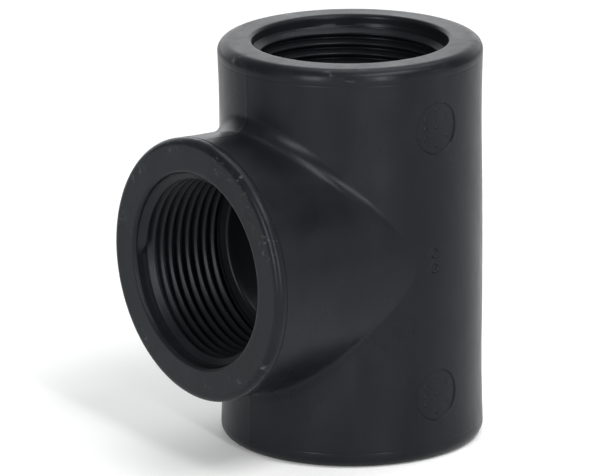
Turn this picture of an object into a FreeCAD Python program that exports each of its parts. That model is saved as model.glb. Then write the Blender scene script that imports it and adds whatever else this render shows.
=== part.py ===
import FreeCAD, Part
import math
import os
import Sketcher
from FreeCAD import Placement, Rotation, Vector

# Female-threaded equal tee, G 1-1/4 on all three ports, moulded in one piece.
# Lengths in mm. Origin: centre of the lower end face. +Z is the run axis,
# the branch leaves along -X at mid height.

doc = FreeCAD.newDocument("pvc_tee")

# ---------------------------------------------------------------- dimensions
dims = doc.addObject("Spreadsheet::Sheet", "dims")
rows = [
    # run barrel outside
    ("run_length", 88.0),
    ("run_rad_middle", 28.5),      # radius at branch level
    ("run_rad_waist", 28.3),       # narrowest radius between middle and mouth
    ("run_rad_mouth", 28.6),       # radius where the rim rounding starts
    ("run_rim_round", 2.4),
    ("waist_height", 27.0),        # waist, measured from mid height
    # branch barrel outside
    ("branch_reach", 43.0),        # run axis to branch face
    ("branch_rad_root", 28.1),     # radius where it meets the run
    ("branch_rad_mouth", 28.66),
    ("branch_rim_round", 1.6),
    ("crotch_round", 3.6),
    # mould insert line around each rim
    ("ring_groove_wide", 0.36),
    ("ring_groove_deep", 0.16),
    ("ring_groove_run", 3.4),      # from the end face
    ("ring_groove_branch", 2.5),
    # G 1-1/4 internal thread, 11 per inch, 55 degree form
    ("thread_pitch", 2.309),
    ("thread_major_rad", 20.955),
    ("thread_minor_rad", 19.476),
    ("thread_crest_round", 0.317),
    ("thread_half_angle", 27.5),
    ("thread_start", 2.1),         # crest centre of the first turn, from the face
    ("thread_end", 23.1),          # ridge runs out inside the shoulder
    ("start_top", -39.0),          # clock position of each blunt start
    ("start_bottom", 65.0),
    ("start_branch", -4.0),
    # sockets
    ("lip_rad", 21.15),            # plain lead-in ahead of the first turn
    ("lip_deep", 2.35),
    ("lip_edge", 0.8),
    ("socket_deep", 21.6),
    ("pilot_deep", 0.5),           # land at the crest radius below the last turn
    ("run_bore_rad", 17.2),
    ("branch_bore_rad", 17.0),
    # round mould-insert marks
    ("mark_rad", 5.6),
    ("mark_spacing", 29.6),        # above and below mid height
    ("mark_turn", 1.5),            # turned this far round the run
    ("pip_rad", 0.42),
    ("pip_high", 0.22),
    ("dimple_rad", 1.05),
    ("dimple_deep", 0.28),
    ("dimple_gap", 1.65),
    ("dimple_lift", 0.6),
    ("dimple_turn", -0.6),
]
for i, (name, value) in enumerate(rows, 1):
    dims.set("A%d" % i, name)
    dims.set("B%d" % i, str(value))
    dims.setAlias("B%d" % i, name)
doc.recompute()
D = {name: value for name, value in rows}


# ------------------------------------------------------------------- helpers
def origin_plane(body, role):
    for o in body.Origin.OriginFeatures:
        if getattr(o, "Role", "") == role:
            return o
    raise RuntimeError("no " + role)


def new_sketch(body, label, role, offset, exprs=()):
    sk = body.newObject("Sketcher::SketchObject", label)
    sk.Label = label
    sk.AttachmentSupport = [(origin_plane(body, role), "")]
    sk.MapMode = "FlatFace"
    sk.AttachmentOffset = offset
    for path, e in exprs:
        sk.setExpression(path, e)
    return sk


def outline(sk, points, arcs=()):
    """Closed outline. points: (x expr, y expr) pairs in sketch axes.
    arcs: {segment index: (radius expr, centre side)} ; centre side +1 = left of travel."""
    def ev(e):
        return float(value_of(e))
    n = len(points)
    P = [Vector(ev(x), ev(y), 0) for x, y in points]
    arcs = dict(arcs)
    for i in range(n):
        a, b = P[i], P[(i + 1) % n]
        if i in arcs:
            rad, side = ev(arcs[i][0]), arcs[i][1]
            mid = (a + b) * 0.5
            ch = b - a
            left = Vector(-ch.y, ch.x, 0).normalize()
            hgt = math.sqrt(max(rad * rad - ch.Length ** 2 / 4, 0.0))
            c = mid + left * (hgt * side)
            bulge = mid - left * ((rad - hgt) * side)
            arc = Part.Arc(a, bulge, b)
            sk.addGeometry(arc, False)
        else:
            sk.addGeometry(Part.LineSegment(a, b), False)
    ends = []
    for i in range(n):
        a, b = P[i], P[(i + 1) % n]
        if i in arcs and arcs[i][1] < 0:
            ends.append((2, 1))   # arcs are stored counter-clockwise
        else:
            ends.append((1, 2))
    cons = []
    for i in range(n):
        j = (i + 1) % n
        cons.append(Sketcher.Constraint("Coincident", i, ends[i][1], j, ends[j][0]))
    sk.addConstraint(cons)
    for i in range(n):
        x, y = points[i]
        px, py = P[i].x, P[i].y
        pos = ends[i][0]
        if abs(px) < 1e-9:
            sk.addConstraint(Sketcher.Constraint("PointOnObject", i, pos, -2))
        else:
            k = sk.addConstraint(Sketcher.Constraint("DistanceX", -1, 1, i, pos, px))
            sk.setExpression("Constraints[%d]" % k, bind(x))
        if abs(py) < 1e-9:
            sk.addConstraint(Sketcher.Constraint("PointOnObject", i, pos, -1))
        else:
            k = sk.addConstraint(Sketcher.Constraint("DistanceY", -1, 1, i, pos, py))
            sk.setExpression("Constraints[%d]" % k, bind(y))
    for i, (rad, side) in arcs.items():
        k = sk.addConstraint(Sketcher.Constraint("Radius", i, ev(rad)))
        sk.setExpression("Constraints[%d]" % k, bind(rad))
    doc.recompute()


# An expression is a small tree: number, name, or (op, a, b...)
def value_of(e):
    if isinstance(e, (int, float)):
        return float(e)
    if isinstance(e, str):
        return D[e]
    op, args = e[0], [value_of(x) for x in e[1:]]
    if op == "+":
        return sum(args)
    if op == "-":
        return args[0] - sum(args[1:]) if len(args) > 1 else -args[0]
    if op == "*":
        v = 1.0
        for x in args:
            v *= x
        return v
    if op == "/":
        return args[0] / args[1]
    if op == "tan":
        return math.tan(math.radians(args[0]))
    if op == "sin":
        return math.sin(math.radians(args[0]))
    if op == "cos":
        return math.cos(math.radians(args[0]))
    if op == "sqrt":
        return math.sqrt(args[0])
    raise ValueError(op)


def bind(e):
    """The same tree written as a FreeCAD expression over the sheet."""
    if isinstance(e, (int, float)):
        return "(%r)" % float(e)
    if isinstance(e, str):
        return "dims." + e
    op, args = e[0], [bind(x) for x in e[1:]]
    if op in "+*/" or (op == "-" and len(args) > 1):
        return "(" + (" %s " % op).join(args) + ")"
    if op == "-":
        return "(-1 * " + args[0] + ")"
    if op == "sqrt":
        return "sqrt(" + args[0] + ")"
    return "%s(%s * 1deg)" % (op, args[0])


def place(x=0.0, y=0.0, z=0.0, axis=(0, 0, 1), angle=0.0, then=None):
    r = Rotation(Vector(*axis), angle)
    if then:
        r = Rotation(Vector(*then[0]), then[1]).multiply(r)
    return Placement(Vector(x, y, z), r)


def revolve(body, kind, label, sk, axis, angle=360.0, rev=False):
    f = body.newObject(kind, label)
    f.Label = label
    f.Profile = sk
    f.ReferenceAxis = (sk, [axis])
    f.Angle = angle
    f.Reversed = rev
    f.Refine = False
    sk.Visibility = False
    body.Tip = f
    doc.recompute()
    return f


def tip_ok(body, label):
    s = body.Tip.Shape
    print("%-22s valid %s  volume %.1f  faces %d  box x %.2f..%.2f y %.2f..%.2f z %.2f..%.2f" % (
        label, s.isValid(), s.Volume, len(s.Faces), s.BoundBox.XMin, s.BoundBox.XMax,
        s.BoundBox.YMin, s.BoundBox.YMax, s.BoundBox.ZMin, s.BoundBox.ZMax), flush=True)


# ------------------------------------------------------------------ the tee
body = doc.addObject("PartDesign::Body", "tee_body")
body.Label = "tee_body"
doc.recompute()

MID = ("/", "run_length", 2)
END_DIST = ("-", MID, "run_rim_round", "waist_height")            # waist to rim
RAD_END = ("/", ("*", END_DIST, END_DIST), ("*", 2, ("-", "run_rad_mouth", "run_rad_waist")))
RAD_SUM = ("/", ("*", "waist_height", "waist_height"), ("*", 2, ("-", "run_rad_middle", "run_rad_waist")))
RAD_MID = ("-", RAD_SUM, RAD_END)
JOIN_H = ("/", ("*", "waist_height", RAD_MID), RAD_SUM)           # where the two curves meet
JOIN_R = ("-", "run_rad_middle", ("/", ("*", JOIN_H, JOIN_H), ("*", 2, RAD_MID)))

# Run barrel: slightly waisted, rounded rims.
sk = new_sketch(body, "run_outline", "XZ_Plane", place())
outline(sk, [
    (0, 0),
    (("-", "run_rad_mouth", "run_rim_round"), 0),
    ("run_rad_mouth", "run_rim_round"),
    (JOIN_R, ("-", MID, JOIN_H)),
    (JOIN_R, ("+", MID, JOIN_H)),
    ("run_rad_mouth", ("-", "run_length", "run_rim_round")),
    (("-", "run_rad_mouth", "run_rim_round"), "run_length"),
    (0, "run_length"),
], {1: ("run_rim_round", 1), 2: (RAD_END, -1), 3: (RAD_MID, 1), 4: (RAD_END, -1), 5: ("run_rim_round", 1)})
revolve(body, "PartDesign::Revolution", "run_barrel", sk, "V_Axis")
tip_ok(body, "run barrel")

# Branch barrel along -X.
FLARE = 15.0
dims.set("A%d" % (len(rows) + 1), "branch_flare")
dims.set("B%d" % (len(rows) + 1), str(FLARE))
dims.setAlias("B%d" % (len(rows) + 1), "branch_flare")
D["branch_flare"] = FLARE
doc.recompute()
BR_END = ("-", "branch_reach", "branch_rim_round")
BR_RAD = ("/", ("+", ("*", "branch_flare", "branch_flare"),
                ("*", ("-", "branch_rad_mouth", "branch_rad_root"), ("-", "branch_rad_mouth", "branch_rad_root"))),
          ("*", 2, ("-", "branch_rad_mouth", "branch_rad_root")))
sk = new_sketch(body, "branch_outline", "XZ_Plane",
                place(0, D["run_length"] / 2, 0, (0, 1, 0), 180),
                [("AttachmentOffset.Base.y", "dims.run_length / 2")])
outline(sk, [
    (0, 0),
    ("branch_reach", 0),
    ("branch_reach", ("-", "branch_rad_mouth", "branch_rim_round")),
    (BR_END, "branch_rad_mouth"),
    (("-", BR_END, "branch_flare"), "branch_rad_root"),
    (0, "branch_rad_root"),
], {2: ("branch_rim_round", 1), 3: (BR_RAD, -1)})
revolve(body, "PartDesign::Revolution", "branch_barrel", sk, "H_Axis")
tip_ok(body, "branch barrel")

# Rounded crotch all the way round the junction of the two barrels.
def junction(shape):
    """Edges shared by a run face and a branch face."""
    names = []
    mz = D["run_length"] / 2

    def kind(face):
        axis = getattr(face.Surface, "Axis", None)
        if axis is None:
            return ""
        if abs(axis.z) > 0.99 and face.Surface.__class__.__name__ != "Plane":
            return "run"
        if abs(axis.x) > 0.99 and face.Surface.__class__.__name__ != "Plane":
            return "branch"
        return ""
    for i, e in enumerate(shape.Edges, 1):
        kinds = {kind(x) for x in shape.ancestorsOfType(e, Part.Face)}
        if kinds == {"run", "branch"}:
            names.append("Edge%d" % i)
    return names


picked = junction(body.Tip.Shape)
print("junction edges", picked)
base = body.Tip
f = body.newObject("PartDesign::Fillet", "crotch")
f.Label = "crotch"
f.Base = (base, picked)
f.setExpression("Radius", "dims.crotch_round")
f.Refine = False
body.Tip = f
doc.recompute()
tip_ok(body, "crotch")


# ------------------------------------------------- thin flash line, mould parting
# Follows the outside of the section through both axes, standing slightly proud.
extra = [("flash_high", 0.07), ("flash_wide", 0.2), ("mark_floor_rad", 28.0), ("ridge_foot_rad", 21.35),
         ("crest_trim", 0.02), ("bore_edge", 0.8)]
for k, (name, value) in enumerate(extra, len(rows) + 2):
    dims.set("A%d" % k, name)
    dims.set("B%d" % k, str(value))
    dims.setAlias("B%d" % k, name)
    D[name] = value
doc.recompute()

fm = ("+", "run_rad_mouth", "flash_high")
fj = ("+", JOIN_R, "flash_high")
bm = ("+", "branch_rad_mouth", "flash_high")
br = ("+", "branch_rad_root", "flash_high")
up_rim = ("-", "run_length", "run_rim_round")
# crotch arc in the section, standing proud of the moulded one
arc_r = ("-", "crotch_round", "flash_high")
cx = ("-", ("+", "run_rad_waist", 0.04, "crotch_round"))
cy = ("+", "branch_rad_root", 0.05, "crotch_round")
sk = new_sketch(body, "flash_outline", "XZ_Plane", place())
outline(sk, [
    (("-", fm), up_rim),                                    # run, above the branch
    (("-", 20), up_rim),
    (20, up_rim),
    (fm, up_rim),
    (fj, ("+", MID, JOIN_H)),
    (fj, ("-", MID, JOIN_H)),
    (fm, "run_rim_round"),
    (20, "run_rim_round"),
    (("-", 20), "run_rim_round"),
    (("-", fm), "run_rim_round"),
    (("+", cx, arc_r), ("-", MID, cy)),
    (cx, ("-", MID, ("-", cy, arc_r))),
    (("-", BR_END), ("-", MID, bm)),
    (("-", BR_END), ("+", MID, bm)),
    (cx, ("+", MID, ("-", cy, arc_r))),
    (("+", cx, arc_r), ("+", MID, cy)),
], {3: (RAD_END, 1), 4: (RAD_MID, -1), 5: (RAD_END, 1), 10: (arc_r, 1), 14: (arc_r, 1)})
f = body.newObject("PartDesign::Pad", "flash_line")
f.Label = "flash_line"
f.Profile = sk
f.Midplane = True
f.setExpression("Length", "dims.flash_wide")
f.Refine = False
sk.Visibility = False
body.Tip = f
doc.recompute()
tip_ok(body, "flash line")


def groove_ring(label, at_x, at_y, along_x, axis, offset=None, exprs=()):
    """Shallow V ring left by a mould insert."""
    sk = new_sketch(body, label + "_outline", "XZ_Plane", offset or place(), exprs)
    hw = ("/", "ring_groove_wide", 2)
    deep = "ring_groove_deep"
    if along_x:
        pts = [(("-", at_x, hw), ("+", at_y, 0.6)), (("-", at_x, hw), at_y), (at_x, ("-", at_y, deep)),
               (("+", at_x, hw), at_y), (("+", at_x, hw), ("+", at_y, 0.6))]
    else:
        pts = [(("+", at_x, 0.6), ("-", at_y, hw)), (at_x, ("-", at_y, hw)), (("-", at_x, deep), at_y),
               (at_x, ("+", at_y, hw)), (("+", at_x, 0.6), ("+", at_y, hw))]
    outline(sk, pts)
    revolve(body, "PartDesign::Groove", label, sk, axis)


ring_r = ("-", "run_rad_mouth", 0.04)
groove_ring("ring_low", ring_r, "ring_groove_run", False, "V_Axis")
groove_ring("ring_high", ring_r, ("-", "run_length", "ring_groove_run"), False, "V_Axis")
groove_ring("ring_branch", ("-", "branch_reach", "ring_groove_branch"), ("-", "branch_rad_mouth", 0.02), True, "H_Axis",
            place(0, D["run_length"] / 2, 0, (0, 1, 0), 180), [("AttachmentOffset.Base.y", "dims.run_length / 2")])
tip_ok(body, "ring grooves")


# ------------------------------------------------ round insert marks on the side
def side_sketch(label, dist, turn):
    """Sketch plane facing out through the side of the run, `dist` from its axis, turned `turn` (expression)."""
    t = value_of(turn)
    d = value_of(dist)
    off = place(d * math.sin(math.radians(t)), 0, d * math.cos(math.radians(t)), (0, 1, 0), t)
    return new_sketch(body, label, "XZ_Plane", off, [
        ("AttachmentOffset.Base.x", bind(("*", dist, ("sin", turn)))),
        ("AttachmentOffset.Base.z", bind(("*", dist, ("cos", turn)))),
        ("AttachmentOffset.Rotation.Angle", bind(turn))])


def circles(sk, spots):
    for x, y, rad in spots:
        px, py = value_of(x), value_of(y)
        g = sk.addGeometry(Part.Circle(Vector(px, py, 0), Vector(0, 0, 1), value_of(rad)), False)
        k = sk.addConstraint(Sketcher.Constraint("Radius", g, value_of(rad)))
        sk.setExpression("Constraints[%d]" % k, bind(rad))
        if abs(px) < 1e-9:
            sk.addConstraint(Sketcher.Constraint("PointOnObject", g, 3, -2))
        else:
            k = sk.addConstraint(Sketcher.Constraint("DistanceX", -1, 1, g, 3, px))
            sk.setExpression("Constraints[%d]" % k, bind(x))
        k = sk.addConstraint(Sketcher.Constraint("DistanceY", -1, 1, g, 3, py))
        sk.setExpression("Constraints[%d]" % k, bind(y))
    doc.recompute()


def feature(kind, label, sk, length):
    f = body.newObject(kind, label)
    f.Label = label
    f.Profile = sk
    f.setExpression("Length", bind(length))
    f.Refine = False
    sk.Visibility = False
    body.Tip = f
    doc.recompute()
    return f


upper = ("+", MID, "mark_spacing")
lower = ("-", MID, "mark_spacing")
sk = side_sketch("marks_outline", 32, "mark_turn")
circles(sk, [(0, upper, "mark_rad"), (0, lower, "mark_rad")])
feature("PartDesign::Pocket", "marks", sk, 8)
# the insert floors follow the barrel
sk = new_sketch(body, "mark_floor_outline", "XZ_Plane", place())
outline(sk, [(0, ("-", lower, 9)), ("mark_floor_rad", ("-", lower, 9)), ("mark_floor_rad", ("+", upper, 9)),
             (0, ("+", upper, 9))])
revolve(body, "PartDesign::Revolution", "mark_floors", sk, "V_Axis")
tip_ok(body, "insert marks")

# raised pips on the insert floors, set out in three columns
for k, (turn, ys) in enumerate([(-6.4, (-2.0, 0.1, 2.0)), (0.0, (-3.9, 0.0, 3.9)), (6.4, (-2.1, 2.1))]):
    sk = side_sketch("pips_outline_%d" % k, 27.2, ("+", "mark_turn", turn))
    circles(sk, [(0, ("+", base_h, y), "pip_rad") for base_h in (upper, lower) for y in ys])
    feature("PartDesign::Pad", "pips_%d" % k, sk, ("-", ("+", "mark_floor_rad", "pip_high"), 27.2))
sk = side_sketch("dimples_outline", 32, "dimple_turn")
circles(sk, [(0, ("+", MID, "dimple_lift", "dimple_gap"), "dimple_rad"),
             (0, ("-", ("+", MID, "dimple_lift"), "dimple_gap"), "dimple_rad")])
feature("PartDesign::Pocket", "dimples", sk, ("-", 32, ("-", "run_rad_middle", "dimple_deep")))
tip_ok(body, "pips and dimples")


# ---------------------------------------------------------------- the sockets
L = "run_length"


def port_uv(port, r, t):
    """Sketch coordinates of a point at radius r and depth t from the port's face."""
    if port == "low":
        return (r, t)
    if port == "high":
        return (r, ("-", L, t))
    return (("-", t, "branch_reach"), r)


def port_sketch(label, port, turn=0):
    if port == "branch":
        return new_sketch(body, label, "XY_Plane",
                          place(0, 0, D["run_length"] / 2, (1, 0, 0), value_of(turn)),
                          [("AttachmentOffset.Base.z", "dims.run_length / 2"),
                           ("AttachmentOffset.Rotation.Angle", bind(turn))])
    return new_sketch(body, label, "XZ_Plane", place(0, 0, 0, (0, 1, 0), value_of(turn)),
                      [("AttachmentOffset.Rotation.Angle", bind(turn))] if turn else [])


def port_outline(sk, port, rt, arcs=()):
    """arcs are given for the low port; the other ports mirror the travel."""
    flip = 1 if port == "low" else -1
    outline(sk, [port_uv(port, r, t) for r, t in rt], {i: (rad, side * flip) for i, (rad, side) in dict(arcs).items()})


FLOOR = ("+", "socket_deep", "pilot_deep")
# the crest cuts meet a quarter turn away from where each ridge runs into its shoulder
for port, start, seam in (("low", "start_bottom", 135.0), ("high", "start_top", 70.0), ("branch", "start_branch", 66.0)):
    axis = "H_Axis" if port == "branch" else "V_Axis"
    # plain socket at the thread's major radius with the wider lead-in ahead of it
    sk = port_sketch(port + "_socket_outline", port)
    step = ("-", "lip_rad", "thread_major_rad")
    port_outline(sk, port, [
        (0, -1),
        (("+", "lip_rad", "lip_edge"), -1),
        (("+", "lip_rad", "lip_edge"), 0),
        ("lip_rad", "lip_edge"),
        ("lip_rad", "lip_deep"),
        ("thread_major_rad", ("+", "lip_deep", step)),
        ("thread_major_rad", "socket_deep"),
        (0, "socket_deep"),
    ], {2: ("lip_edge", -1)})
    revolve(body, "PartDesign::Groove", port + "_socket", sk, axis)
    tip_ok(body, port + " socket")
    # the helical thread ridge with its blunt start
    sk = port_sketch(port + "_ridge_outline", port, start)
    rho = "thread_crest_round"
    half = ("*", rho, ("cos", "thread_half_angle"))
    r_tan = ("-", ("+", "thread_minor_rad", rho), "crest_trim", ("*", rho, ("sin", "thread_half_angle")))
    foot = ("+", half, ("*", ("-", "ridge_foot_rad", r_tan), ("tan", "thread_half_angle")))
    port_outline(sk, port, [
        ("ridge_foot_rad", ("-", "thread_start", foot)),
        (r_tan, ("-", "thread_start", half)),
        (r_tan, ("+", "thread_start", half)),
        ("ridge_foot_rad", ("+", "thread_start", foot)),
    ], {1: (rho, -1)})
    f = body.newObject("PartDesign::AdditiveHelix", port + "_thread")
    f.Label = port + "_thread"
    f.Profile = sk
    f.ReferenceAxis = (sk, [axis])
    f.Mode = 0
    f.setExpression("Pitch", "dims.thread_pitch")
    f.setExpression("Height", "dims.thread_end - dims.thread_start")
    f.LeftHanded = False
    f.Reversed = port == "high"
    f.Refine = False
    sk.Visibility = False
    body.Tip = f
    doc.recompute()
    tip_ok(body, port + " thread")
    # crests bored to the minor radius in two half turns
    for half_no, rev in ((1, False), (2, True)):
        sk = port_sketch("%s_crest_outline_%d" % (port, half_no), port, seam)
        port_outline(sk, port, [(0, -1), ("thread_minor_rad", -1), ("thread_minor_rad", FLOOR), (0, FLOOR)])
        revolve(body, "PartDesign::Groove", "%s_crest_%d" % (port, half_no), sk, axis, 180.0, rev)
    tip_ok(body, port + " crests")

# --------------------------------------------------------------- the waterways
sk = new_sketch(body, "run_waterway_outline", "XZ_Plane", place())
e = "bore_edge"
lo, hi = FLOOR, ("-", L, FLOOR)
outline(sk, [
    (0, ("-", lo, 1)), (("+", "run_bore_rad", e), ("-", lo, 1)), (("+", "run_bore_rad", e), lo),
    ("run_bore_rad", ("+", lo, e)), ("run_bore_rad", ("-", hi, e)),
    (("+", "run_bore_rad", e), hi), (("+", "run_bore_rad", e), ("+", hi, 1)), (0, ("+", hi, 1)),
], {2: (e, -1), 4: (e, -1)})
revolve(body, "PartDesign::Groove", "run_waterway", sk, "V_Axis")
sk = port_sketch("branch_waterway_outline", "branch")
port_outline(sk, "branch", [
    (0, ("-", FLOOR, 1)), (("+", "branch_bore_rad", e), ("-", FLOOR, 1)),
    (("+", "branch_bore_rad", e), FLOOR), ("branch_bore_rad", ("+", FLOOR, e)),
    ("branch_bore_rad", ("-", "branch_reach", 2)), (0, ("-", "branch_reach", 2)),
], {2: (e, -1)})
revolve(body, "PartDesign::Groove", "branch_waterway", sk, "H_Axis")
tip_ok(body, "waterways")

# ------------------------------------------------------------- check and export
doc.recompute()
for o in doc.Objects:
    bad = [x for x in o.State if x in ("Invalid", "Error")]
    if bad:
        raise RuntimeError("%s is %s" % (o.Label, bad))
os.makedirs("parts", exist_ok=True)
for o in [body]:
    shape = o.Shape
    if shape.isNull() or not shape.isValid() or not shape.Solids:
        raise RuntimeError(o.Label + " has no valid solid")
    print(o.Label, "solids", len(shape.Solids), "volume", round(shape.Volume, 1), "faces", len(shape.Faces))
    shape.exportStep("parts/%s.step" % o.Label)
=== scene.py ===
import math

import bpy
import numpy as np
from mathutils import Matrix, Vector
from mathutils.geometry import delaunay_2d_cdt


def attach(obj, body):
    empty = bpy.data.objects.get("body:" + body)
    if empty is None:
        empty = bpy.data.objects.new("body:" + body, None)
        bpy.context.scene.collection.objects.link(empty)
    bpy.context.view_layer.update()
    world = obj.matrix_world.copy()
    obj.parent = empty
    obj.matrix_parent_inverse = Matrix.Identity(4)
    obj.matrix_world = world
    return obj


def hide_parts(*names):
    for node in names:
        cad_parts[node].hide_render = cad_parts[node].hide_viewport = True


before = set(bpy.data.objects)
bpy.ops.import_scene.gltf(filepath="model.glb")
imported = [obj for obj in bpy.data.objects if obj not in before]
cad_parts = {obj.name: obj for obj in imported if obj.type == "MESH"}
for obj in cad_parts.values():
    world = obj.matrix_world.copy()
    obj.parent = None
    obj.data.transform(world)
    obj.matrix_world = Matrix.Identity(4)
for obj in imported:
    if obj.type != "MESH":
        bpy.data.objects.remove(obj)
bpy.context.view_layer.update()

# ============================================================================
# The tee as one closed moulding, built as a clean mesh. Lengths in mm here and
# turned into metres at the end. Same frame as the CAD: origin at the centre of
# the lower end face, +Z up the run, branch along -X at mid height.
# ============================================================================
LEN, MID, REACH = 88.0, 44.0, 43.0
RUN_MID, RUN_WAIST, RUN_MOUTH, RUN_RIM = 28.5, 28.3, 28.6, 2.4
WAIST_H = 27.0
BR_ROOT, BR_MOUTH, BR_RIM, BR_FLARE = 28.1, 28.645, 1.6, 15.0
CROTCH = 3.6
RING_W, RING_D, RING_D_RUN, RING_RUN, RING_BR = 0.36, 0.16, 0.03, 3.4, 2.5
PITCH, MAJOR, MINOR, CREST_R, HALF = 2.309, 20.955, 19.476, 0.317, math.radians(27.5)
T0 = 2.1
LIP_R, LIP_DEEP, LIP_EDGE = 21.15, 2.35, 0.8
LIP_END = 0.86
SOCKET, PILOT = 21.6, 0.5
RUN_BORE, BR_BORE, BORE_EDGE = 17.2, 17.0, 0.8
START = {"high": -39.0, "low": 65.0, "branch": -4.0}
FLASH_H, FLASH_W = 0.012, 0.2
MARK_AZ, DIMPLE_AZ = math.radians(-88.5), math.radians(-90.6)
MARK_R, MARK_DEEP, MARK_Z = 5.6, 0.31, 29.6
DIMPLE_R, DIMPLE_DEEP, DIMPLE_GAP, DIMPLE_LIFT = 1.05, 0.28, 1.65, 0.6

# ---- run barrel radius against height (two tangent curves each side of mid height)
_end = MID - RUN_RIM - WAIST_H
_rad_end = _end ** 2 / (2 * (RUN_MOUTH - RUN_WAIST))
_rad_sum = WAIST_H ** 2 / (2 * (RUN_MID - RUN_WAIST))
_rad_mid = _rad_sum - _rad_end
_join = WAIST_H * _rad_mid / _rad_sum


def run_radius(z):
    h = np.abs(np.asarray(z, float) - MID)
    inner = RUN_MID - h ** 2 / (2 * _rad_mid)
    outer = RUN_WAIST + (h - WAIST_H) ** 2 / (2 * _rad_end)
    r = np.where(h < _join, inner, outer)
    g = np.abs(h - (MID - RING_RUN)) / (RING_W / 2)
    return r - RING_D_RUN * np.clip(1 - g, 0, 1)


def branch_radius(x):
    """x is the distance out from the run axis."""
    x = np.asarray(x, float)
    u = np.clip((x - (REACH - BR_RIM - BR_FLARE)) / BR_FLARE, 0, 1)
    r = BR_ROOT + (BR_MOUTH - BR_ROOT) * u ** 2
    g = np.abs(x - (REACH - RING_BR)) / (RING_W / 2)
    return r - RING_D * np.clip(1 - g, 0, 1)


def flash(across):
    """Height of the thin parting line, by distance from the parting plane."""
    return FLASH_H * np.clip(1.25 - np.abs(across) / (FLASH_W / 2) * 0.9, 0, 1)


# ---- angular stations
def spread(lo, hi, step, extra):
    n = max(2, int(round((hi - lo) / step)) + 1)
    base = [x for x in np.linspace(lo, hi, n)]
    keep = []
    for b in base:
        if b in (base[0], base[-1]) or all(abs(b - e) > step * 0.35 for e in extra):
            keep.append(b)
    allv = sorted(set([round(float(v), 6) for v in keep + [e for e in extra if lo < e < hi]]))
    return np.array(allv)


def near(a, offs):
    return [a + o for o in offs]


FLASH_OFFS = (-0.24, -0.17, -0.05, 0.05, 0.17, 0.24)
START_OFFS = (-0.02, 0.0, 0.25, 0.5, 0.8, 1.15)
STEP = 2.25
# angle round the branch, from +Y towards +Z, for the upper and lower halves
psi_up = spread(0, 180, STEP, near(90, FLASH_OFFS))
psi_lo = spread(180, 360, STEP, near(270, FLASH_OFFS) + near(356.0, START_OFFS))


def centre_of(psi_deg):
    """Ball centre and its two touch points, rolling round the crotch. psi in degrees, arrays."""
    psi = np.radians(psi_deg)
    up = np.sin(psi)
    z = MID + (BR_ROOT + CROTCH) * up
    xc = 30.0 * np.ones_like(psi)
    for _ in range(6):
        rb = branch_radius(xc)
        y = (rb + CROTCH) * np.cos(psi)
        z = MID + (rb + CROTCH) * up
        rr = run_radius(z)
        xc = np.sqrt(np.maximum((rr + CROTCH) ** 2 - y ** 2, 1e-9))
    C = np.stack([-xc, y, z], -1)
    k = rr / (rr + CROTCH)
    on_run = np.stack([-xc * k, y * k, z], -1)
    on_branch = np.stack([-xc, rb * np.cos(psi), MID + rb * up], -1)
    return C, on_run, on_branch


_, edge0, _ = centre_of(np.array([0.0]))
AZ0 = math.degrees(math.atan2(edge0[0, 1], edge0[0, 0]))      # about 99: where the crotch ends on the +Y side
mark_deg = math.degrees(MARK_AZ)
PATCH_HALF = 13.6                                             # half width of the marks' patch, degrees
full_extra = (near(360.0, FLASH_OFFS) + near(360 + START["high"], [-o for o in START_OFFS])
              + near(360 + START["low"], START_OFFS)
              + [360 + mark_deg + PATCH_HALF,
                 360 + math.degrees(DIMPLE_AZ) - 4.4, 360 + math.degrees(DIMPLE_AZ) + 4.4])
AZ_FULL = spread(360 - AZ0, 360 + AZ0, STEP, full_extra)      # from the -Y side round +X to the +Y side


# ============================================================================ mesh store
class Store:
    def __init__(self):
        self.points, self.quads, self.n = [], [], 0
        self.tris = []
        self.slot, self.quad_slot = 0, []

    def grid(self, P, flip=False, skip=None):
        """P is rows x columns x 3. Quads between neighbours."""
        P = np.asarray(P, float)
        r, c, _ = P.shape
        idx = np.arange(r * c).reshape(r, c) + self.n
        q = np.stack([idx[:-1, :-1], idx[:-1, 1:], idx[1:, 1:], idx[1:, :-1]], -1)
        if skip is not None:
            q = q[~skip]
        q = q.reshape(-1, 4)
        if flip:
            q = q[:, ::-1]
        self.points.append(P.reshape(-1, 3))
        self.quads.append(q)
        self.quad_slot += [self.slot] * len(q)
        self.n += r * c

    def triangles(self, P, T):
        self.points.append(np.asarray(P, float))
        self.tris.append(np.asarray(T, int) + self.n)
        self.n += len(P)

    def mesh(self, name):
        P = np.vstack(self.points)
        key = np.round(P / 2e-5).astype(np.int64)
        _, first, inv = np.unique(key, axis=0, return_index=True, return_inverse=True)
        inv = inv.ravel()
        V = P[first]
        faces, slots = [], []
        for q, k in zip(np.vstack(self.quads), self.quad_slot):
            f = [int(inv[i]) for i in q]
            g = [f[i] for i in range(4) if f[i] != f[i - 1]]
            if len(set(g)) == len(g) and len(g) >= 3:
                faces.append(g)
                slots.append(k)
        for t in (np.vstack(self.tris) if self.tris else []):
            f = [int(inv[i]) for i in t]
            if len(set(f)) == 3:
                faces.append(f)
                slots.append(0)
        me = bpy.data.meshes.new(name)
        me.from_pydata((V * 0.001).tolist(), [], faces)
        me.polygons.foreach_set("material_index", slots)
        me.update()
        return me


store = Store()


def cyl(r, az, z):
    r, az, z = np.broadcast_arrays(np.asarray(r, float), az, z)
    return np.stack([r * np.cos(az), r * np.sin(az), z], -1)


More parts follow.
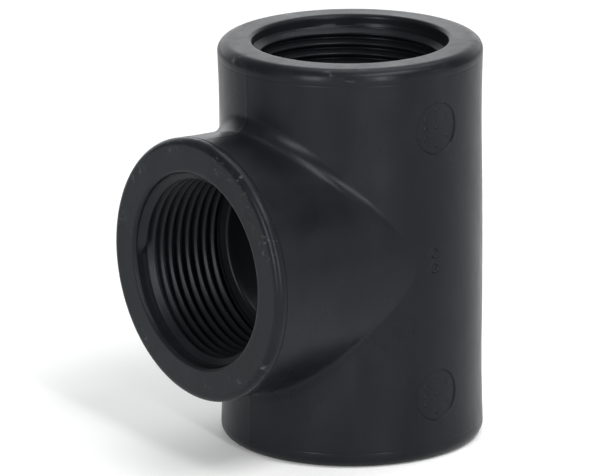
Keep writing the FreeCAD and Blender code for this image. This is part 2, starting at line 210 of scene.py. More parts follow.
# ============================================================================ run barrel outside
Z_LOCK = 80.0     # above this the rows keep their height all round
h_rows = np.unique(np.round(np.concatenate([
    [0.0, 1.2, 2.6, 4.4], np.linspace(6.6, MID - 21.0, 7), [MARK_Z - 6.9], [MARK_Z - 3.0, MARK_Z, MARK_Z + 3.0],
    [MARK_Z + 6.9], [39.2, 40.2],
    MID - RING_RUN + np.array([-0.5, -0.18, -0.09, 0.0, 0.09, 0.18, 0.5]),
    [MID - RUN_RIM]]), 6))
h_rows = h_rows[(h_rows >= 0)]


def run_outside(side, psi, mirror):
    """side +1 upper half, -1 lower half. Returns the columns' azimuths (radians), crotch columns first."""
    C, on_run, on_branch = centre_of(psi)
    az_cr = np.arctan2(on_run[:, 1], on_run[:, 0]) % (2 * math.pi)
    hs_cr = np.abs(on_run[:, 2] - MID)
    az = np.concatenate([az_cr, np.radians(AZ_FULL[1:-1])])
    hs = np.concatenate([hs_cr, np.zeros(len(AZ_FULL) - 2)])
    hs[hs < 1e-6] = 0
    lock = Z_LOCK - MID
    H = np.where(h_rows[:, None] >= lock, h_rows[:, None],
                 hs[None, :] + h_rows[:, None] / lock * (lock - hs[None, :]))
    Z = MID + side * H
    A = np.broadcast_to(az, Z.shape)
    R = run_radius(Z)
    P = cyl(R, A, Z)
    bump = flash(P[..., 1])
    P = cyl(R + bump, A, Z)
    return az, hs, A, P, on_run, len(psi)




half = {}
for name, side, psi in (("high", 1, psi_up), ("low", -1, psi_lo[::-1])):
    az, hs, A, P, on_run, ncr = run_outside(side, psi, side < 0)
    half[name] = dict(az=az, P=P, A=A, side=side, psi=psi, ncr=ncr)

# which grid cells are left out for the marks' patches: full columns only
az_lo, az_hi = 2 * math.pi + MARK_AZ - math.radians(PATCH_HALF), 2 * math.pi + MARK_AZ + math.radians(PATCH_HALF)
d_lo, d_hi = 2 * math.pi + DIMPLE_AZ - math.radians(4.4), 2 * math.pi + DIMPLE_AZ + math.radians(4.4)
z_lo, z_hi = MARK_Z - 6.9, MARK_Z + 6.9
EPS = 1e-6
for name, hf in half.items():
    side, P, az = hf["side"], hf["P"], hf["az"]
    closed = np.concatenate([P, P[:, :1]], 1)
    a0 = az
    a1 = np.concatenate([az[1:], [az[0] + 2 * math.pi]])
    isfull = np.arange(len(az)) >= hf["ncr"] - 1
    in_mark = (a0 >= az_lo - EPS) & (a1 <= az_hi + EPS)
    in_dimple = isfull & (a0 >= d_lo - EPS) & (a1 <= d_hi + EPS)
    r0, r1 = h_rows[:-1], h_rows[1:]
    row_mark = (r0 >= z_lo - EPS) & (r1 <= z_hi + EPS)
    row_dimple = r1 <= 4.4 + EPS
    skip = (row_mark[:, None] & in_mark[None, :]) | (row_dimple[:, None] & in_dimple[None, :])
    hf["mark_cols"] = np.where(in_mark)[0]
    hf["dimple_cols"] = np.where(in_dimple)[0]
    hf["row_mark"], hf["row_dimple"] = row_mark, row_dimple
    store.grid(closed, flip=side < 0, skip=skip)


# ---- patches with the round marks and the dimples, as true circles
def smooth(x):
    x = np.clip(x, 0, 1)
    return x * x * (3 - 2 * x)


PIPS = []
for turn, ys in ((-6.4, (-2.0, 0.1, 2.0)), (0.0, (-3.9, 0.0, 3.9)), (6.4, (-2.1, 2.1))):
    for y in ys:
        PIPS.append((math.radians(turn) * 28.0, y))
PIP_R, PIP_H = 0.42, 0.22


def mark_depth(u, w):
    """Depth below the barrel at (u round, w up) from a mark's centre, in mm."""
    rho = np.hypot(u, w)
    d = MARK_DEEP * (1 - smooth((rho - (MARK_R - 0.07)) / 0.14))
    for pu, pw in PIPS:
        q = np.hypot(u - pu, w - pw)
        d = d - PIP_H * (1 - smooth((q - (PIP_R - 0.12)) / 0.2))
    return d


def dimple_depth(u, w):
    d = 0 * u
    for c in (DIMPLE_LIFT + DIMPLE_GAP, DIMPLE_LIFT - DIMPLE_GAP):
        q = np.hypot(u, w - c)
        d = d + DIMPLE_DEEP * (1 - smooth((q - (DIMPLE_R - 0.16)) / 0.22))
    return d


def ring_points(cu, cw, r, n):
    a = np.arange(n) / n * 2 * math.pi
    return [(cu + r * math.cos(t), cw + r * math.sin(t)) for t in a]


def patch(boundary, az0, zc, depth, circles, inner_step):
    """boundary: closed list of (az, z). circles: (cu, cw, r, n). Surface: barrel minus depth(u, w)."""
    scale = 28.3
    b = [((a - 2 * math.pi - az0) * scale, z - zc) for a, z in boundary]
    pts, edges = [Vector(p) for p in b], [(i, (i + 1) % len(b)) for i in range(len(b))]
    us, ws = [p[0] for p in b], [p[1] for p in b]
    rings = []
    for cu, cw, r, n in circles:
        base = len(pts)
        pts += [Vector(p) for p in ring_points(cu, cw, r, n)]
        edges += [(base + i, base + (i + 1) % n) for i in range(n)]
        rings.append((cu, cw, r))
    gu = np.arange(min(us) + inner_step * 0.6, max(us) - inner_step * 0.3, inner_step)
    gw = np.arange(min(ws) + inner_step * 0.6, max(ws) - inner_step * 0.3, inner_step)
    for u in gu:
        for w in gw:
            if all(abs(math.hypot(u - cu, w - cw) - r) > inner_step * 0.4 for cu, cw, r in rings):
                pts.append(Vector((u, w)))
    vs, es, fs, _, _, _ = delaunay_2d_cdt(pts, edges, [], 1, 1e-5)
    V = np.array([(v.x, v.y) for v in vs])
    if len(vs) < len(pts):
        raise RuntimeError("patch points merged")
    R = run_radius(V[:, 1] + zc) - depth(V[:, 0], V[:, 1])
    A = V[:, 0] / scale + az0
    P = cyl(R, A, V[:, 1] + zc)
    T = []
    for f in fs:
        for i in range(1, len(f) - 1):
            T.append((f[0], f[i], f[i + 1]))
    T = np.array(T)
    a, b2, c = V[T[:, 0]], V[T[:, 1]], V[T[:, 2]]
    area = (b2[:, 0] - a[:, 0]) * (c[:, 1] - a[:, 1]) - (b2[:, 1] - a[:, 1]) * (c[:, 0] - a[:, 0])
    T[area < 0] = T[area < 0][:, ::-1]
    T = T[np.abs(area) > 1e-9]
    # the outline's own points are put back exactly, so the patch welds to the grid
    for i, (aa, z) in enumerate(boundary):
        P[i] = cyl(run_radius(np.array(z)), np.array(aa), np.array(z))
    store.triangles(P, T)


def block_edge(hf, cols, rows):
    """The outline of a block of left-out grid cells as (azimuth, height), counter-clockwise seen from outside."""
    az, Z = hf["az"], hf["P"][..., 2]
    c = list(cols) + [cols[-1] + 1]
    r = list(rows) + [rows[-1] + 1]
    if hf["side"] < 0:
        r = r[::-1]
    return ([(az[k], Z[r[0], k]) for k in c] + [(az[c[-1]], Z[i, c[-1]]) for i in r[1:]]
            + [(az[k], Z[r[-1], k]) for k in c[-2::-1]] + [(az[c[0]], Z[i, c[0]]) for i in r[-2:0:-1]])


for name, hf in half.items():
    bd = block_edge(hf, hf["mark_cols"], np.where(hf["row_mark"])[0])
    circ = [(0, 0, r, 96) for r in (MARK_R + 0.09, MARK_R + 0.03, MARK_R - 0.03, MARK_R - 0.09)]
    for pu, pw in PIPS:
        circ += [(pu, pw, r, 20) for r in (PIP_R + 0.09, PIP_R, PIP_R - 0.12)]
    patch(bd, MARK_AZ, MID + hf["side"] * MARK_Z, mark_depth, circ, 0.8)

cols = half["high"]["dimple_cols"]
aa = list(half["high"]["az"][cols]) + [half["high"]["az"][cols[-1] + 1]]
hh = h_rows[h_rows <= 4.4 + EPS]
zz = sorted(set(list(MID - hh) + list(MID + hh)))
bd = ([(a, zz[0]) for a in aa] + [(aa[-1], z) for z in zz[1:]] + [(a, zz[-1]) for a in aa[-2::-1]]
      + [(aa[0], z) for z in zz[-2:0:-1]])
circ = []
for c in (DIMPLE_LIFT + DIMPLE_GAP, DIMPLE_LIFT - DIMPLE_GAP):
    circ += [(0, c, r, 36) for r in (DIMPLE_R + 0.09, DIMPLE_R + 0.02, DIMPLE_R - 0.06, DIMPLE_R - 0.18)]
patch(bd, DIMPLE_AZ, MID, dimple_depth, circ, 0.7)

# ============================================================================ crotch and branch outside
FILLET = 9


def slerp(C, A, B, n):
    a, b = A - C, B - C
    la, lb = np.linalg.norm(a, axis=1), np.linalg.norm(b, axis=1)
    ua, ub = a / la[:, None], b / lb[:, None]
    w = np.arccos(np.clip((ua * ub).sum(1), -1, 1))
    out = []
    for k in range(n + 1):
        t = k / n
        s = np.sin(w)
        v = (np.sin((1 - t) * w) / s)[:, None] * ua + (np.sin(t * w) / s)[:, None] * ub
        out.append(C + v * (la * (1 - t) + lb * t)[:, None])
    return np.array(out)          # n+1 x columns x 3


psi_all = np.concatenate([psi_up, psi_lo[1:]])       # 0 .. 360, first and last are one place
C, on_run, on_branch = centre_of(psi_all)
bumpv = flash(on_run[:, 1])
F = slerp(C, on_run, on_branch, FILLET)
# the parting line runs through the crotch too
towards = C[None] - F
towards /= np.linalg.norm(towards, axis=2)[..., None]
F = F + towards * flash(F[..., 1])[..., None]
F[0] = cyl(np.hypot(on_run[:, 0], on_run[:, 1]) + bumpv, np.arctan2(on_run[:, 1], on_run[:, 0]), on_run[:, 2])
psi_r = np.radians(psi_all)
rb0 = branch_radius(-on_branch[:, 0])


def branch_point(x, r, psi, with_flash=True):
    x, r, psi = np.broadcast_arrays(np.asarray(x, float), r, psi)
    P = np.stack([-x, r * np.cos(psi), MID + r * np.sin(psi)], -1)
    if with_flash:
        b = flash(P[..., 1])
        P = np.stack([-x, (r + b) * np.cos(psi), MID + (r + b) * np.sin(psi)], -1)
    return P


F[-1] = branch_point(-on_branch[:, 0], rb0, psi_r)
F[:, -1] = F[:, 0]
store.grid(F, flip=True)

X_LOCK = 37.0
xs = -on_branch[:, 0]
x_rows = np.concatenate([np.linspace(0, 1, 9), ])
blk1 = xs[None, :] + x_rows[:, None] * (X_LOCK - xs[None, :])
x_tail = np.array([38.3, 39.4, REACH - RING_BR - 0.5, REACH - RING_BR - 0.18, REACH - RING_BR - 0.09, REACH - RING_BR,
                   REACH - RING_BR + 0.09, REACH - RING_BR + 0.18, REACH - RING_BR + 0.5, REACH - BR_RIM])
blk2 = np.repeat(x_tail[:, None], len(xs), 1)
X = np.vstack([blk1, blk2])
P = branch_point(X, branch_radius(X), psi_r[None, :])
P[:, -1] = P[:, 0]
store.grid(P, flip=True)


# ============================================================================ rims, faces, sockets
def thread_radius(turn, t):
    """Inside radius of a socket. turn: share of a turn past the blunt start, 0..1; t: depth from the face."""
    turn, t = np.broadcast_arrays(np.asarray(turn, float), np.asarray(t, float))
    base = np.full(t.shape, MAJOR)
    step = LIP_R - MAJOR
    base = np.where(t < LIP_DEEP, LIP_R, np.where(t < LIP_DEEP + step, LIP_R - (t - LIP_DEEP), base))
    n = np.round((t - T0) / PITCH - turn)
    best = base.copy()
    for k in (-1, 0, 1):
        m = n + k
        d = np.abs(t - (T0 + PITCH * (turn + m)))
        # profile: round crest, straight flank, round root
        tan_d = CREST_R * math.cos(HALF)
        crest = MINOR + CREST_R - np.sqrt(np.maximum(CREST_R ** 2 - d ** 2, 0))
        flank_r = MINOR + CREST_R * (1 - math.sin(HALF)) + (d - tan_d) / math.tan(HALF)
        root_c = MAJOR - CREST_R
        dd = PITCH / 2 - d
        root = root_c + np.sqrt(np.maximum(CREST_R ** 2 - dd ** 2, 0))
        r = np.where(d <= tan_d, crest, np.where(dd <= tan_d, root, flank_r))
        r = np.where(d > PITCH / 2, MAJOR + (d - PITCH / 2) * 3, r)
        arc = (turn + m) * 2 * math.pi * MINOR
        grown = smooth(arc / 3.2)
        r = np.where(m < -1e-9, 99, base - (base - np.minimum(r, base)) * np.where(m > 0.5, 1.0, grown))
        best = np.minimum(best, r)
    return best


D_ROWS = np.array([-0.281, -0.17, -0.055, 0.055, 0.17, 0.281, 0.874, 0.98, 1.1, 1.21, 1.33, 1.435])
NPER = len(D_ROWS)


def port(kind, ang, P_rim, place, start_deg, sign, rim_r, rim_round, flip, bore_r):
    """ang: column angles in radians, increasing, closed by wrapping. place(r, ang, t) gives points.
    sign: +1 if the thread goes inwards with increasing angle."""
    closed = np.concatenate([ang, [ang[0] + 2 * math.pi]])
    rows = []
    # rim rounding
    for k in range(0, 13):
        a = k / 12 * math.pi / 2
        rows.append((rim_r - rim_round * (1 - math.cos(a)), rim_round * (1 - math.sin(a))))
    R = [r for r, t in rows] + [rim_r - rim_round - 0.5, (rim_r + LIP_R) / 2 - 0.6, LIP_R + LIP_EDGE + 0.3]
    T = [t for r, t in rows] + [0, 0, 0]
    for k in range(0, 6):
        a = k / 5 * math.pi / 2
        R.append(LIP_R + LIP_EDGE * (1 - math.sin(a)))
        T.append(LIP_EDGE * (1 - math.cos(a)))
    R.append(LIP_R)
    T.append(LIP_END)
    G = place(np.array(R)[:, None], closed[None, :], np.array(T)[:, None])
    # the parting line fades out over the rim
    if P_rim is not None:
        across = P_rim[:, 1]
        b = flash(across)
        for i in range(13):
            f = 1 - i / 8
            if f <= 0:
                break
            G[i] = place((R[i] + b * f)[None, :], closed[None, :], np.array([[T[i]]]))[0]
        G[0] = P_rim
    store.grid(G[:17], flip=flip)
    store.slot = 1
    store.grid(G[16:], flip=flip)
    # thread, with rows that follow the helix, in order round from the blunt start
    start = math.radians(start_deg)
    turn = (sign * (ang - start) / (2 * math.pi)) % 1.0
    turn[turn > 1 - 1e-9] = 0.0
    o = np.argsort(turn)
    a_s, t_s = ang[o], turn[o]
    n0, n1 = -2, int(math.ceil((SOCKET - T0) / PITCH)) + 1
    T_rows = np.concatenate([T0 + PITCH * n + D_ROWS for n in range(n0, n1 + 1)])
    TT = np.clip(T_rows[:, None] + PITCH * t_s[None, :], LIP_END, SOCKET)
    RR = thread_radius(t_s[None, :], TT)
    AA = np.broadcast_to(a_s, TT.shape)
    G = place(RR, AA, TT)
    thread_flip = flip if sign > 0 else not flip
    store.grid(G, flip=thread_flip)
    # close the helix: the last column's row i meets the first column's row i + one pitch
    last, first = G[:, -1], G[:, 0]
    S = np.stack([last[:-NPER], first[NPER:]], 1)
    store.grid(S, flip=thread_flip)
    # shoulder, crest land and the start of the waterway
    tc = np.concatenate([turn, turn[:1]])
    r_sh = thread_radius(tc, np.full(tc.shape, SOCKET))
    rows = [r_sh, np.minimum(r_sh, MINOR)]
    ts = [SOCKET, SOCKET]
    rows += [np.full(tc.shape, MINOR), np.full(tc.shape, bore_r + BORE_EDGE)]
    ts += [SOCKET + PILOT, SOCKET + PILOT]
    for k in range(1, 6):
        a = k / 5 * math.pi / 2
        rows.append(np.full(tc.shape, bore_r + BORE_EDGE * (1 - math.sin(a))))
        ts.append(SOCKET + PILOT + BORE_EDGE * (1 - math.cos(a)))
    G = place(np.array(rows), np.broadcast_to(closed, (len(rows), len(closed))), np.array(ts)[:, None])
    store.grid(G, flip=flip)
    store.slot = 0
    return G[-1]


ends = {}
for name, hf in half.items():
    az = hf["az"].copy()
    # make azimuth increase from the first column on
    a = az.copy()
    for i in range(1, len(a)):
        while a[i] < a[i - 1] - 1e-9:
            a[i] += 2 * math.pi
    rim = np.concatenate([hf["P"][-1], hf["P"][-1][:1]])
    if name == "high":
        pl = lambda r, an, t: cyl(r, an, LEN - t)
        ends[name] = port("run", a, rim, pl, START[name], -1, RUN_MOUTH, RUN_RIM, False, RUN_BORE)
    else:
        pl = lambda r, an, t: cyl(r, an, t)
        ends[name] = port("run", a, rim, pl, START[name], +1, RUN_MOUTH, RUN_RIM, True, RUN_BORE)
    hf["a"] = a

psi_open = psi_r[:-1]
rimb = P[-1].copy()
pl = lambda r, an, t: np.stack(np.broadcast_arrays(-(REACH - t), r * np.cos(an), MID + r * np.sin(an)), -1)
ends["branch"] = port("branch", psi_open, rimb, pl, START["branch"], +1, BR_MOUTH, BR_RIM, True, BR_BORE)


# ============================================================================ waterways
def inner_crotch(psi):
    y = BR_BORE * np.cos(psi)
    return np.sqrt(np.maximum(RUN_BORE ** 2 - y ** 2, 0)), y, MID + BR_BORE * np.sin(psi)


BORE_ROWS = 9
store.slot = 1
for name, hf in half.items():
    side, a, ncr = hf["side"], hf["a"], hf["ncr"]
    psi = np.radians(hf["psi"])
    x, y, z = inner_crotch(psi)
    az_in = a.copy()
    end_in = np.arctan2(y, -x) % (2 * math.pi)
    az_in[:ncr] = end_in
    zs = np.full(len(a), MID)
    zs[:ncr] = z
    z_top = MID + side * (MID - SOCKET - PILOT - BORE_EDGE)
    s = np.linspace(0, 1, BORE_ROWS)[:, None]
    Z = z_top + s * (zs[None, :] - z_top)
    Aa = a[None, :] + s * (az_in - a)[None, :]
    G = cyl(RUN_BORE, Aa, Z)
    G = np.concatenate([G, G[:, :1]], 1)
    store.grid(G, flip=side < 0)
x, y, z = inner_crotch(psi_r)
x_top = REACH - SOCKET - PILOT - BORE_EDGE
s = np.linspace(0, 1, BORE_ROWS)[:, None]
X = x_top + s * (x[None, :] - x_top)
G = np.stack([-X, np.broadcast_to(BR_BORE * np.cos(psi_r), X.shape), np.broadcast_to(MID + BR_BORE * np.sin(psi_r), X.shape)], -1)
G[:, -1] = G[:, 0]
store.grid(G, flip=True)

mesh = store.mesh("tee_moulding")

tee = bpy.data.objects.new("tee_moulding", mesh)
bpy.context.scene.collection.objects.link(tee)
for poly in mesh.polygons:
    poly.use_smooth = True
mesh.set_sharp_from_angle(angle=math.radians(38))


# ============================================================================ materials
def tree(name):
    m = bpy.data.materials.new(name)
    m.use_nodes = True
    nt = m.node_tree
    for n in list(nt.nodes):
        nt.nodes.remove(n)
    return m, nt


def add(nt, kind, **vals):
    n = nt.nodes.new(kind)
    for k, v in vals.items():
        if k.startswith("in_"):
            key = k[3:]
            key = int(key) if key.isdigit() else key.replace("_", " ")
            n.inputs[key].default_value = v
        else:
            setattr(n, k, v)
    return n


def link(nt, a, b):
    nt.links.new(a, b)


def maths(nt, op, a, b=None, c=None, clamp=False):
    n = nt.nodes.new("ShaderNodeMath")
    n.operation = op
    n.use_clamp = clamp
    for i, v in enumerate((a, b, c)):
        if v is None:
            continue
        if isinstance(v, (int, float)):
            n.inputs[i].default_value = v
        else:
            nt.links.new(v, n.inputs[i])
    return n.outputs[0]


def remap(nt, v, a0, a1, b0, b1, smooth_step=False):
    n = nt.nodes.new("ShaderNodeMapRange")
    n.interpolation_type = "SMOOTHSTEP" if smooth_step else "LINEAR"
    nt.links.new(v, n.inputs[0])
    for i, x in enumerate((a0, a1, b0, b1), 1):
        n.inputs[i].default_value = x
    return n.outputs[0]


def noise(nt, vec, scale, detail=2.0, rough=0.5, dist=0.0):
    n = nt.nodes.new("ShaderNodeTexNoise")
    n.noise_dimensions = "3D"
    n.inputs["Scale"].default_value = scale
    n.inputs["Detail"].default_value = detail
    n.inputs["Roughness"].default_value = rough
    n.inputs["Distortion"].default_value = dist
    nt.links.new(vec, n.inputs["Vector"])
    return n.outputs["Fac"]


def ramp(nt, fac, stops):
    n = nt.nodes.new("ShaderNodeValToRGB")
    el = n.color_ramp.elements
    el[0].position, el[0].color = stops[0][0], (*stops[0][1], 1)
    el[1].position, el[1].color = stops[-1][0], (*stops[-1][1], 1)
    for pos, col in stops[1:-1]:
        e = el.new(pos)
        e.color = (*col, 1)
    nt.links.new(fac, n.inputs[0])
    return n.outputs[0]


def plastic(name, base, dark, light, rough_lo, rough_hi, grain, scratches=(), wear_amount=1.0):
    m, nt = tree(name)
    out = add(nt, "ShaderNodeOutputMaterial")
    bsdf = add(nt, "ShaderNodeBsdfPrincipled")
    bsdf.inputs["IOR"].default_value = 1.49
    bsdf.inputs["Specular IOR Level"].default_value = 0.13
    bsdf.inputs["Specular Tint"].default_value = (0.88, 0.93, 1.0, 1)
    link(nt, bsdf.outputs[0], out.inputs[0])
    co = add(nt, "ShaderNodeTexCoord").outputs["Object"]
    # slow streaks of the melt's flow, and a fine mottling of the pigment
    mapped = add(nt, "ShaderNodeMapping")
    mapped.inputs["Scale"].default_value = (1.0, 1.0, 0.45)
    link(nt, co, mapped.inputs["Vector"])
    flow = noise(nt, mapped.outputs[0], 85.0, 4.0, 0.55, 0.6)
    fine = noise(nt, co, 2600.0, 3.0, 0.6)
    col_f = maths(nt, "ADD", maths(nt, "MULTIPLY", flow, 0.75), maths(nt, "MULTIPLY", fine, 0.25))
    colour = ramp(nt, col_f, [(0.33, dark), (0.5, base), (0.72, light)])
    # dust that clings in small patches
    patchy = remap(nt, noise(nt, co, 140.0, 3.0, 0.6), 0.60, 0.78, 0.0, 1.0, True)
    specks = remap(nt, noise(nt, co, 5200.0, 1.0, 0.5), 0.70, 0.76, 0.0, 1.0, True)
    dust = maths(nt, "MULTIPLY", patchy, specks)
    mix = add(nt, "ShaderNodeMix", data_type="RGBA")
    mix.inputs[7].default_value = (0.085, 0.088, 0.09, 1)
    link(nt, maths(nt, "MULTIPLY", dust, 0.55), mix.inputs[0])
    link(nt, colour, mix.inputs[6])
    # scuffs: lighter, duller patches where the rims have rubbed, and stray flecks elsewhere
    sx = add(nt, "ShaderNodeSeparateXYZ")
    link(nt, co, sx.inputs[0])
    px, py, pz = sx.outputs
    zz = maths(nt, "SUBTRACT", pz, 0.044)
    r_run = maths(nt, "SQRT", maths(nt, "ADD", maths(nt, "MULTIPLY", px, px), maths(nt, "MULTIPLY", py, py)))
    r_br = maths(nt, "SQRT", maths(nt, "ADD", maths(nt, "MULTIPLY", zz, zz), maths(nt, "MULTIPLY", py, py)))
    rim_run = maths(nt, "MULTIPLY", remap(nt, maths(nt, "ABSOLUTE", zz), 0.0405, 0.0432, 0.0, 1.0, True),
                    remap(nt, r_run, 0.0235, 0.0265, 0.0, 1.0, True))
    rim_br = maths(nt, "MULTIPLY", remap(nt, px, -0.0400, -0.0424, 0.0, 1.0, True),
                   remap(nt, r_br, 0.0225, 0.0262, 0.0, 1.0, True))
    rim = maths(nt, "MAXIMUM", rim_run, rim_br)
    stretch = add(nt, "ShaderNodeMapping")
    stretch.inputs["Rotation"].default_value = (0.4, 0.7, 0.2)
    stretch.inputs["Scale"].default_value = (0.35, 1.0, 1.6)
    link(nt, co, stretch.inputs["Vector"])
    rubs = noise(nt, stretch.outputs[0], 620.0, 3.0, 0.62, 0.5)
    where = noise(nt, co, 95.0, 2.0, 0.5)
    rubbed = maths(nt, "MULTIPLY", remap(nt, rubs, 0.56, 0.70, 0.0, 1.0, True), remap(nt, where, 0.50, 0.66, 0.0, 1.0, True))
    flecks = maths(nt, "MULTIPLY", remap(nt, rubs, 0.69, 0.76, 0.0, 1.0, True), remap(nt, where, 0.56, 0.70, 0.0, 0.45, True))
    wear = maths(nt, "MULTIPLY", maths(nt, "MAXIMUM", maths(nt, "MULTIPLY", rubbed, rim), flecks), wear_amount)
    worn = add(nt, "ShaderNodeMix", data_type="RGBA")
    worn.inputs[7].default_value = (0.105, 0.108, 0.112, 1)
    link(nt, maths(nt, "MULTIPLY", wear, 0.42), worn.inputs[0])
    link(nt, mix.outputs[2], worn.inputs[6])
    link(nt, worn.outputs[2], bsdf.inputs["Base Color"])
    # satin skin: broad handling marks over a fine spark-eroded grain
    broad = noise(nt, co, 38.0, 3.0, 0.6, 0.4)
    rub = noise(nt, mapped.outputs[0], 420.0, 4.0, 0.65)
    rough = remap(nt, maths(nt, "ADD", maths(nt, "MULTIPLY", broad, 0.6), maths(nt, "MULTIPLY", rub, 0.4)),
                  0.30, 0.70, rough_lo, rough_hi)
    rough = maths(nt, "ADD", rough, maths(nt, "MULTIPLY", dust, 0.25), clamp=True)
    rough = maths(nt, "ADD", rough, maths(nt, "MULTIPLY", wear, 0.20), clamp=True)
    # heights in metres, one bump for everything
    peel = noise(nt, co, 260.0, 2.0, 0.5)
    gr = noise(nt, co, 4200.0, 2.0, 0.5)
    waves = noise(nt, co, 60.0, 1.0, 0.5)
    h = maths(nt, "MULTIPLY", peel, grain[0])
    h = maths(nt, "ADD", h, maths(nt, "MULTIPLY", gr, grain[1]))
    h = maths(nt, "ADD", h, maths(nt, "MULTIPLY", waves, grain[2]))
    if scratches:
        sep = add(nt, "ShaderNodeSeparateXYZ")
        link(nt, co, sep.inputs[0])
        x, y, z = sep.outputs
        az = maths(nt, "ARCTAN2", y, x)
        front = maths(nt, "LESS_THAN", y, 0.0)
        u = maths(nt, "MULTIPLY", maths(nt, "ADD", az, math.pi / 2), 0.0284)
        marks = None
        for (u0, w0), (u1, w1), wide in scratches:
            L = math.hypot(u1 - u0, w1 - w0)
            dx, dy = (u1 - u0) / L, (w1 - w0) / L
            pu, pw = maths(nt, "SUBTRACT", u, u0), maths(nt, "SUBTRACT", z, w0)
            along = maths(nt, "ADD", maths(nt, "MULTIPLY", pu, dx), maths(nt, "MULTIPLY", pw, dy))
            across = maths(nt, "ABSOLUTE", maths(nt, "SUBTRACT", maths(nt, "MULTIPLY", pu, dy), maths(nt, "MULTIPLY", pw, dx)))
            line = remap(nt, across, wide * 0.25, wide, 1.0, 0.0, True)
            half_l = maths(nt, "ABSOLUTE", maths(nt, "SUBTRACT", along, L / 2))
            ends_f = remap(nt, half_l, L / 2 - L * 0.3, L / 2, 1.0, 0.0, True)
            one = maths(nt, "MULTIPLY", line, ends_f)
            marks = one if marks is None else maths(nt, "MAXIMUM", marks, one)
        broken = remap(nt, noise(nt, co, 900.0, 2.0, 0.6), 0.35, 0.55, 0.25, 1.0)
        marks = maths(nt, "MULTIPLY", maths(nt, "MULTIPLY", marks, front), broken)
        h = maths(nt, "SUBTRACT", h, maths(nt, "MULTIPLY", marks, 1.4e-5))
        rough = maths(nt, "ADD", rough, maths(nt, "MULTIPLY", marks, 0.18), clamp=True)
    link(nt, rough, bsdf.inputs["Roughness"])
    bump = add(nt, "ShaderNodeBump")
    bump.inputs["Strength"].default_value = 1.0
    bump.inputs["Distance"].default_value = 1.0
    link(nt, h, bump.inputs["Height"])
    link(nt, bump.outputs[0], bsdf.inputs["Normal"])
    return m


# faint handling scratches on the side that faces the camera: (distance round from -Y, height) in metres
SCRATCHES = [((-0.0078, 0.0268), (0.0072, 0.0178), 0.00010), ((-0.0090, 0.0470), (0.0145, 0.0553), 0.00010),
             ((-0.0100, 0.0745), (-0.0040, 0.0768), 0.00012), ((-0.0130, 0.0180), (-0.0040, 0.0215), 0.00008),
             ((-0.0030, 0.0790), (0.0060, 0.0835), 0.00008)]
skin = plastic("moulded_skin", (0.0064, 0.0071, 0.0086), (0.0046, 0.0052, 0.0064), (0.0098, 0.0106, 0.0124),
               0.23, 0.40, (2.0e-5, 1.6e-6, 3.6e-5), SCRATCHES)
core = plastic("moulded_socket", (0.0070, 0.0076, 0.0088), (0.0052, 0.0058, 0.0068), (0.0098, 0.0104, 0.0118),
               0.28, 0.40, (0.8e-5, 0.9e-6, 1.2e-5), (), 0.25)
mesh.materials.append(skin)
mesh.materials.append(core)
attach(tee, "root")
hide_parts("tee_body")
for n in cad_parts.values():
    n.data.materials.clear()
    n.data.materials.append(skin)

# ============================================================================ floor, light, camera
WORLD_BACK, WORLD_DIM = 1.75, 0.20


def plain(name, colour, rough):
    m, nt = tree(name)
    out = add(nt, "ShaderNodeOutputMaterial")
    b = add(nt, "ShaderNodeBsdfPrincipled")
    b.inputs["Base Color"].default_value = (*colour, 1)
    b.inputs["Roughness"].default_value = rough
    b.inputs["Specular IOR Level"].default_value = 0.2
    link(nt, b.outputs[0], out.inputs[0])
    return m


fm = bpy.data.meshes.new("floor")
S = 6.0
fm.from_pydata([(-S, -S, 0), (S, -S, 0), (S, S, 0), (-S, S, 0)], [], [(0, 1, 2, 3)])
floor = bpy.data.objects.new("floor", fm)
pale = plain("floor_pale", (0.82, 0.82, 0.82), 0.9)
for n in pale.node_tree.nodes:
    if n.type == "BSDF_PRINCIPLED":
        n.inputs["Emission Color"].default_value = (1, 1, 1, 1)
        n.inputs["Emission Strength"].default_value = 0.04
fm.materials.append(pale)
bpy.context.scene.collection.objects.link(floor)

# a bright backdrop low down behind the object, a dim room everywhere else
world = bpy.data.worlds.new("studio")
bpy.context.scene.world = world
world.use_nodes = True
wn = world.node_tree
bg = wn.nodes["Background"]
bg.inputs["Color"].default_value = (0.97, 0.985, 1.0, 1)
wdir = add(wn, "ShaderNodeTexCoord").outputs["Generated"]
wsep = add(wn, "ShaderNodeSeparateXYZ")
link(wn, wdir, wsep.inputs[0])
wdot = add(wn, "ShaderNodeVectorMath", operation="DOT_PRODUCT")
link(wn, wdir, wdot.inputs[0])
wdot.inputs[1].default_value = (0.6245, 0.7810, 0.0)
behind = remap(wn, wdot.outputs["Value"], 0.45, 0.90, 0.0, 1.0, True)
low = remap(wn, wsep.outputs[2], 0.34, 0.62, 1.0, 0.0, True)
glow = maths(wn, "MULTIPLY", behind, low)
link(wn, maths(wn, "ADD", maths(wn, "MULTIPLY", glow, WORLD_BACK), WORLD_DIM), bg.inputs["Strength"])


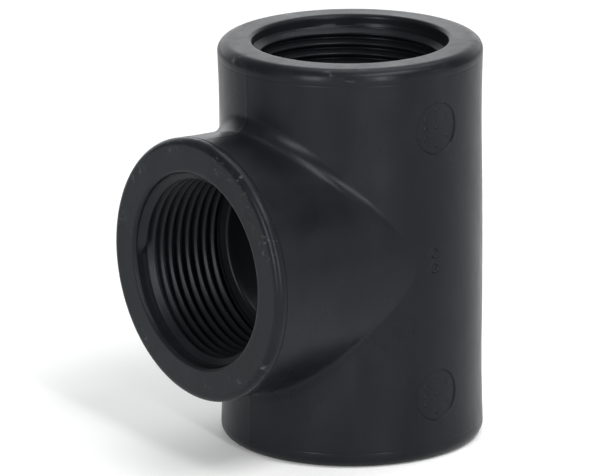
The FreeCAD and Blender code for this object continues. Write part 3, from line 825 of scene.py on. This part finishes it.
def area(name, direction, dist, height, size_x, size_y, power, target=(0, 0, 0.044), spread_deg=180.0):
    d = Vector(direction).normalized()
    loc = Vector(target) + d * dist
    loc.z = height
    l = bpy.data.lights.new(name, "AREA")
    l.shape = "RECTANGLE"
    l.size, l.size_y = size_x, size_y
    l.energy = power
    l.spread = math.radians(spread_deg)
    o = bpy.data.objects.new(name, l)
    o.location = loc
    o.rotation_mode = "QUATERNION"
    o.rotation_quaternion = (Vector(target) - loc).to_track_quat("-Z", "Y")
    bpy.context.scene.collection.objects.link(o)
    return o


area("soft_left", (-0.948, -0.318, 0), 1.2, 0.36, 0.09, 0.8, 11.0)
area("soft_right", (-0.212, -0.977, 0), 1.2, 0.36, 0.09, 0.8, 8.5)
area("soft_top", (0.32, 0.16, 1.0), 1.3, 1.25, 1.0, 1.0, 9.0, (0.01, 0.012, 0.0))
area("soft_key", (0.06, -0.56, 0.84), 1.3, 1.12, 0.85, 0.42, 12.0)
area("soft_fill", (0.62, -0.78, 0.20), 1.3, 0.32, 0.8, 0.5, 1.4)

AZ, EL, ROLL = math.radians(-38.6458), math.radians(16.039), math.radians(-0.4474)
back = Vector((math.sin(AZ) * math.cos(EL), -math.cos(AZ) * math.cos(EL), math.sin(EL)))
right = Vector((math.cos(AZ), math.sin(AZ), 0))
up = back.cross(right)
r2 = math.cos(ROLL) * right + math.sin(ROLL) * up
u2 = -math.sin(ROLL) * right + math.cos(ROLL) * up
cd = bpy.data.cameras.new("camera")
cam = bpy.data.objects.new("camera", cd)
bpy.context.scene.collection.objects.link(cam)
cd.sensor_width = 36.0
cd.lens = 6058.27 * 36.0 / 600.0
cd.clip_start, cd.clip_end = 0.05, 50.0
K = 0.0284
cam.matrix_world = Matrix(((r2.x, u2.x, back.x, -28.0713 * K), (r2.y, u2.y, back.y, -34.4815 * K),
                           (r2.z, u2.z, back.z, 12.7642 * K + 0.04394), (0, 0, 0, 1)))
bpy.context.scene.camera = cam
bpy.context.scene.view_settings.view_transform = "Standard"
bpy.context.scene.view_settings.look = "None"
